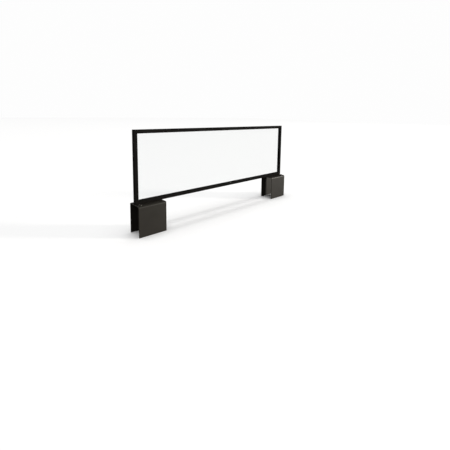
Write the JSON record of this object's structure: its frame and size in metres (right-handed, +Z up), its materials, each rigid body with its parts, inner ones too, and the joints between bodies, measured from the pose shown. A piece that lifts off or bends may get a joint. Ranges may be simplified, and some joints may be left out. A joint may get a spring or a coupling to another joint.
{
  "type": "saddle-mounted panel frame",
  "caption": "Black channel frame with a lift-out clear panel, carried on bent sheet saddles that straddle the top edge of an upright panel.",
  "frame": {"origin": "middle of the object's footprint, level with the saddles' lower edges", "axes": "+X along the frame towards the right saddle, +Y towards the back, +Z up"},
  "size_m": [0.5652, 0.0498, 0.2623],
  "materials": {
    "frame_black": "satin black powder coat",
    "saddle_black": "satin warm black powder coat",
    "screw_black": "black oxide",
    "zinc": "zinc plated",
    "clear_acrylic": "clear, polished edges"
  },
  "bodies": {
    "frame": {"bottom_rail": "frame_black", "top_rail": "frame_black", "left_stile": "frame_black", "right_stile": "frame_black", "corner_key_bottom_left": "zinc", "corner_key_bottom_right": "zinc", "corner_key_top_left": "zinc", "corner_key_top_right": "zinc", "left_saddle": "saddle_black", "right_saddle": "saddle_black", "frame_screw_left_outer": "screw_black", "frame_screw_left_inner": "screw_black", "frame_screw_right_outer": "screw_black", "frame_screw_right_inner": "screw_black", "frame_nut_left_outer": "zinc", "frame_nut_left_inner": "zinc", "frame_nut_right_outer": "zinc", "frame_nut_right_inner": "zinc", "wood_screw_left_front": "screw_black", "wood_screw_left_back": "screw_black", "wood_screw_right_front": "screw_black", "wood_screw_right_back": "screw_black"},
    "panel": {"clear_panel": "clear_acrylic"}
  },
  "joints": [
    {"name": "panel_lift", "type": "slide", "parent": "frame", "child": "panel", "axis": [0, 0, 1], "range_m": [0, 0.17]}
  ]
}
